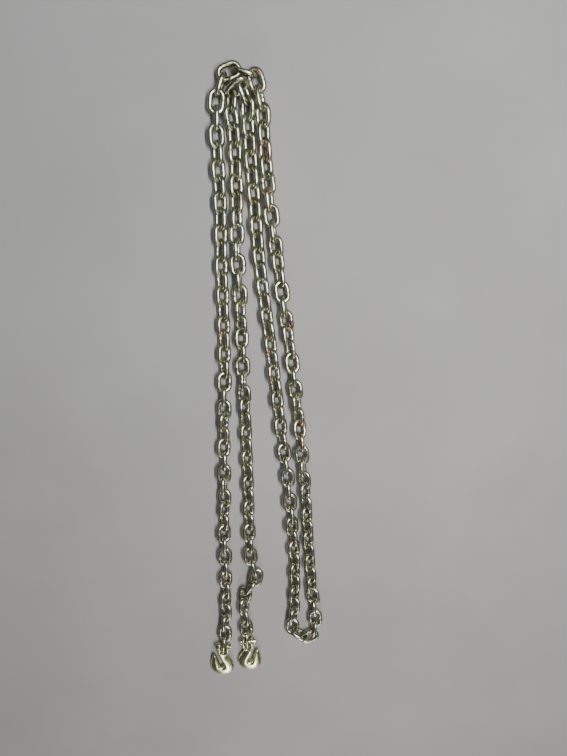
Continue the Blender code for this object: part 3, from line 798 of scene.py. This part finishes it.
# Yellow zinc plate on drawn steel bar, bent and welded before it was plated. To the eye it is
# bright metal under a thin film that drifts between straw, olive, grey and rose, from link to link
# and along each one. Its highlights are sharp, but the uneven bar breaks them up.
def plated_bar():
    """The finish of the links."""
    material, tree, shader, place = new_finish("yellow_zinc_plated_bar", 1)
    tone = add_node(tree, "ShaderNodeAttribute", attribute_name="tone").outputs["Fac"]
    film = add_node(
        tree, "ShaderNodeTexNoise", {"Vector": place},
        {"Scale": per_metre(BAR_DRIFT), "Detail": 3, "Roughness": 0.55})
    shift = add_node(
        tree, "ShaderNodeMapRange", {"Value": tone}, {"To Min": -TONE_SHIFT, "To Max": TONE_SHIFT})
    blend = add_node(
        tree, "ShaderNodeMath", {0: film.outputs["Fac"], 1: shift.outputs["Result"]},
        operation="ADD")
    tint = add_node(tree, "ShaderNodeValToRGB", {"Fac": blend.outputs["Value"]})
    set_ramp(tint, BAR_TINTS)
    tree.links.new(tint.outputs["Color"], shader.inputs["Base Color"])
    patches = add_node(
        tree, "ShaderNodeTexNoise", {"Vector": place},
        {"Scale": per_metre(BAR_POLISH), "Detail": 2})
    smooth, dull = BAR_ROUGHNESS
    polish = add_node(
        tree, "ShaderNodeMapRange", {"Value": patches.outputs["Fac"]},
        {"To Min": smooth, "To Max": dull})
    tree.links.new(polish.outputs["Result"], shader.inputs["Roughness"])
    grain = add_node(
        tree, "ShaderNodeTexNoise", {"Vector": place},
        {"Scale": per_metre(BAR_GRAIN), "Detail": 2})
    skin = add_node(tree, "ShaderNodeBump", {"Height": grain.outputs["Fac"]}, GRAIN_RELIEF)
    waves = add_node(
        tree, "ShaderNodeTexNoise", {"Vector": place},
        {"Scale": per_metre(BAR_WAVES), "Detail": 1})
    relief = add_node(
        tree, "ShaderNodeBump", {"Height": waves.outputs["Fac"], "Normal": skin.outputs["Normal"]},
        WAVE_RELIEF)
    tree.links.new(relief.outputs["Normal"], shader.inputs["Normal"])
    return material


# Yellow zinc plate on drop-forged steel, blasted before it was plated. To the eye it is paler and
# more satin than the bar, pale yellow to cream, with broad soft highlights over a pitted skin.
def plated_forging():
    """The finish of the hooks."""
    material, tree, shader, place = new_finish("yellow_zinc_plated_forging", 1)
    film = add_node(
        tree, "ShaderNodeTexNoise", {"Vector": place},
        {"Scale": per_metre(FORGING_DRIFT), "Detail": 3, "Roughness": 0.6})
    tint = add_node(tree, "ShaderNodeValToRGB", {"Fac": film.outputs["Fac"]})
    set_ramp(tint, FORGING_TINTS)
    tree.links.new(tint.outputs["Color"], shader.inputs["Base Color"])
    patches = add_node(
        tree, "ShaderNodeTexNoise", {"Vector": place},
        {"Scale": per_metre(FORGING_POLISH), "Detail": 3})
    smooth, dull = FORGING_ROUGHNESS
    polish = add_node(
        tree, "ShaderNodeMapRange", {"Value": patches.outputs["Fac"]},
        {"To Min": smooth, "To Max": dull})
    tree.links.new(polish.outputs["Result"], shader.inputs["Roughness"])
    pits = add_node(
        tree, "ShaderNodeTexNoise", {"Vector": place},
        {"Scale": per_metre(FORGING_PITS), "Detail": 2})
    relief = add_node(tree, "ShaderNodeBump", {"Height": pits.outputs["Fac"]}, PIT_RELIEF)
    tree.links.new(relief.outputs["Normal"], shader.inputs["Normal"])
    return material


# Zinc plate on turned or drawn steel: yellow on the pins, bright on the cotters' wire. To the eye
# both are small and smooth, brighter than the links, with a tint and a polish that vary a little.
def plated_small_steel(name, tints):
    """The finish of the pins, or of the cotters."""
    material, tree, shader, place = new_finish(name, 1)
    film = add_node(
        tree, "ShaderNodeTexNoise", {"Vector": place},
        {"Scale": per_metre(PIN_DRIFT), "Detail": 2})
    tint = add_node(tree, "ShaderNodeValToRGB", {"Fac": film.outputs["Fac"]})
    set_ramp(tint, tints)
    tree.links.new(tint.outputs["Color"], shader.inputs["Base Color"])
    smooth, dull = PIN_ROUGHNESS
    polish = add_node(
        tree, "ShaderNodeMapRange", {"Value": film.outputs["Fac"]},
        {"To Min": smooth, "To Max": dull})
    tree.links.new(polish.outputs["Result"], shader.inputs["Roughness"])
    return material


# Smoothed concrete. To the eye it is plain, matt and pale, in clouds of nearly one tone.
def concrete_floor():
    """The finish of the floor."""
    material, tree, shader, place = new_finish("smoothed_concrete", 0)
    cloud = add_node(
        tree, "ShaderNodeTexNoise", {"Vector": place},
        {"Scale": per_metre(FLOOR_CLOUD), "Detail": 4})
    tint = add_node(tree, "ShaderNodeValToRGB", {"Fac": cloud.outputs["Fac"]})
    set_ramp(tint, FLOOR_TINTS)
    tree.links.new(tint.outputs["Color"], shader.inputs["Base Color"])
    shader.inputs["Roughness"].default_value = FLOOR_ROUGHNESS
    return material


# Floor, light and camera


def add_light(name, place, aim, size, power, color):
    """A soft rectangular light at a place, turned to face a point, its long side along Y."""
    bpy.ops.object.light_add(type="AREA", location=place)
    lamp = bpy.context.object
    lamp.name = name
    lamp.data.shape = "RECTANGLE"
    lamp.data.size, lamp.data.size_y = size
    lamp.data.energy = power
    lamp.data.color = linear(color)[:3]
    back = (Vector(place) - Vector(aim)).normalized()
    across = Vector((0, 1, 0)).cross(back).normalized()
    lamp.rotation_euler = Matrix((across, back.cross(across), back)).transposed().to_euler()


def build_studio():
    """The pale floor, the soft lights and the photograph's camera.

    The strip is the main light, high on the right. The panel is weak and hangs over the far bends.
    The low light stands beyond the hooks and brings them out.
    """
    bpy.ops.object.select_all(action="DESELECT")
    bpy.ops.mesh.primitive_plane_add(size=FLOOR_SIZE)
    floor = bpy.context.object
    floor.name = "floor"
    floor.data.materials.append(concrete_floor())
    for light in LIGHTS:
        add_light(*light)
    world = bpy.data.worlds.new("studio")
    bpy.context.scene.world = world
    world.use_nodes = True
    background = world.node_tree.nodes["Background"]
    background.inputs["Color"].default_value = linear(BACKDROP)
    background.inputs["Strength"].default_value = BACKDROP_STRENGTH
    bpy.ops.object.camera_add(location=CAMERA_PLACE, rotation=(math.radians(-CAMERA_TILT), 0, 0))
    camera = bpy.context.object
    camera.data.sensor_width = SENSOR
    camera.data.lens = SENSOR * VIEW_DEPTH / VIEW_HEIGHT
    camera.data.clip_start = NEAREST_SEEN
    camera.data.clip_end = FURTHEST_SEEN
    bpy.context.scene.camera = camera


links = lay_chain()
move_onto_frame(links)
model_runs(links, plated_bar())
model_hooks(
    links, plated_forging(),
    plated_small_steel("yellow_zinc_plated_turned_steel", PIN_TINTS),
    plated_small_steel("bright_zinc_plated_wire", COTTER_TINTS))
build_studio()
